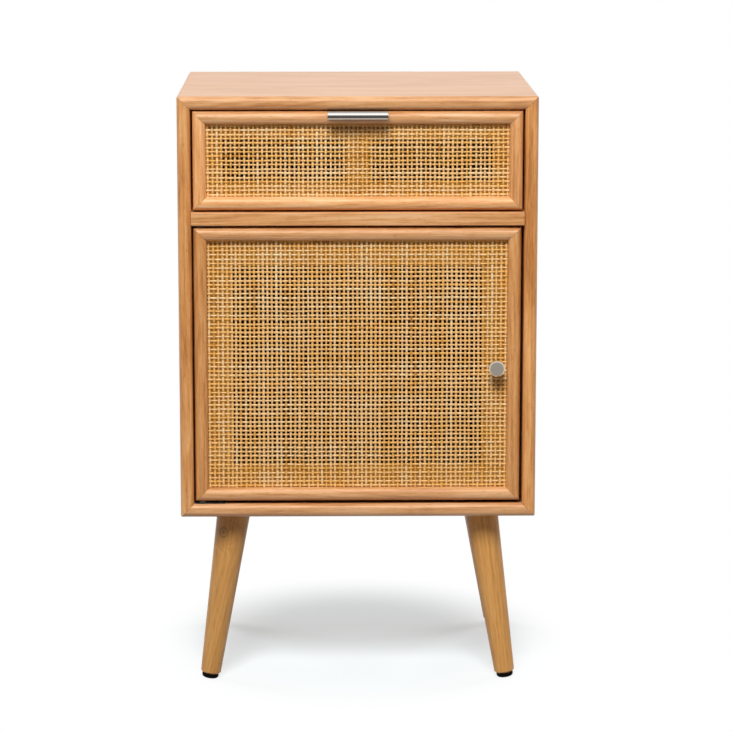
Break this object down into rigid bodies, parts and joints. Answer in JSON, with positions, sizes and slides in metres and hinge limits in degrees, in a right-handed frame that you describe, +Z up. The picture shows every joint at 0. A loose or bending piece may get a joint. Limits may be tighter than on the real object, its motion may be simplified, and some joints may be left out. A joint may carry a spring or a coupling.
{
  "type": "bedside cabinet",
  "caption": "Small wooden cabinet on splayed tapered legs, with a drawer above a side-hung door, both fronted with woven cane in rounded frames.",
  "frame": {"origin": "on the floor, at the middle of the bounding box's bottom face", "axes": "+Z up, +X to the right seen from the front, the front with the drawer and door faces -Y"},
  "size_m": [0.4, 0.3482, 0.675],
  "materials": {
    "solid_wood": "oiled solid wood, satin",
    "veneered_board": "wood veneer on board, satin",
    "plywood": "thin plywood, matt",
    "stained_plywood": "thin plywood, stained dark, matt",
    "drawer_board": "solid pine board, matt",
    "leg_wood": "turned solid wood, satin",
    "dowel_wood": "beech dowel",
    "cane": "split rattan strands, woven one over one",
    "satin_nickel": "satin nickel plate",
    "rubber_feet": "moulded black rubber",
    "nylon": "moulded nylon, dyed dark brown",
    "ferrite": "sintered ferrite",
    "bearing_steel": "polished bearing steel",
    "black_steel": "steel, black lacquered",
    "zinc_plated_steel": "zinc-plated steel"
  },
  "bodies": {
    "cabinet": {"back_panel": "stained_plywood", "bottom_panel": "veneered_board", "cabinet_screws": "zinc_plated_steel", "catch_housing": "nylon", "catch_magnet": "ferrite", "divider_dowels": "dowel_wood", "divider_front_rail": "solid_wood", "divider_panel": "veneered_board", "foot_pad_back_left": "rubber_feet", "foot_pad_back_right": "rubber_feet", "foot_pad_front_left": "rubber_feet", "foot_pad_front_right": "rubber_feet", "front_trim_bottom": "solid_wood", "front_trim_left": "solid_wood", "front_trim_right": "solid_wood", "front_trim_top": "solid_wood", "left_side_panel": "veneered_board", "leg_back_left": "leg_wood", "leg_back_right": "leg_wood", "leg_bolts": "zinc_plated_steel", "leg_front_left": "leg_wood", "leg_front_right": "leg_wood", "leg_inserts": "zinc_plated_steel", "pivot_plate_bottom": "black_steel", "pivot_plate_top": "black_steel", "right_side_panel": "veneered_board", "slide_rail_left": "zinc_plated_steel", "slide_rail_right": "zinc_plated_steel", "top_panel": "veneered_board"},
    "drawer": {"drawer_back": "drawer_board", "drawer_backing": "plywood", "drawer_bottom": "plywood", "drawer_box_screws": "zinc_plated_steel", "drawer_cane_panel": "cane", "drawer_frame_bottom": "solid_wood", "drawer_frame_left": "solid_wood", "drawer_frame_right": "solid_wood", "drawer_frame_top": "solid_wood", "drawer_pull": "satin_nickel", "drawer_side_left": "drawer_board", "drawer_side_right": "drawer_board", "pull_screws": "zinc_plated_steel", "runner_screws": "zinc_plated_steel", "slide_runner_left": "zinc_plated_steel", "slide_runner_right": "zinc_plated_steel"},
    "door": {"door_backing": "plywood", "door_cane_panel": "cane", "door_frame_bottom": "solid_wood", "door_frame_left": "solid_wood", "door_frame_right": "solid_wood", "door_frame_top": "solid_wood", "door_knob": "satin_nickel", "door_pivot_bushes": "nylon", "knob_screw": "zinc_plated_steel", "strike_plate": "zinc_plated_steel", "strike_screw": "zinc_plated_steel"},
    "ball_cage_left": {"ball_cage_left": "zinc_plated_steel", "slide_balls_left": "bearing_steel"},
    "ball_cage_right": {"ball_cage_right": "zinc_plated_steel", "slide_balls_right": "bearing_steel"}
  },
  "joints": [
    {"name": "drawer_slide", "type": "slide", "parent": "cabinet", "child": "drawer", "axis": [0, -1, 0], "range_m": [0, 0.17]},
    {"name": "door_hinge", "type": "hinge", "parent": "cabinet", "child": "door", "pos_m": [-0.1755, -0.152, 0.37375], "axis": [0, 0, -1], "range_deg": [0, 95]},
    {"name": "ball_cage_left_travel", "type": "slide", "parent": "cabinet", "child": "ball_cage_left", "axis": [0, -1, 0], "range_m": [0, 0.085]},
    {"name": "ball_cage_right_travel", "type": "slide", "parent": "cabinet", "child": "ball_cage_right", "axis": [0, -1, 0], "range_m": [0, 0.085]}
  ],
  "couplings": [
    {"joint": "ball_cage_left_travel", "follows": "drawer_slide", "ratio": 0.5},
    {"joint": "ball_cage_right_travel", "follows": "drawer_slide", "ratio": 0.5}
  ]
}
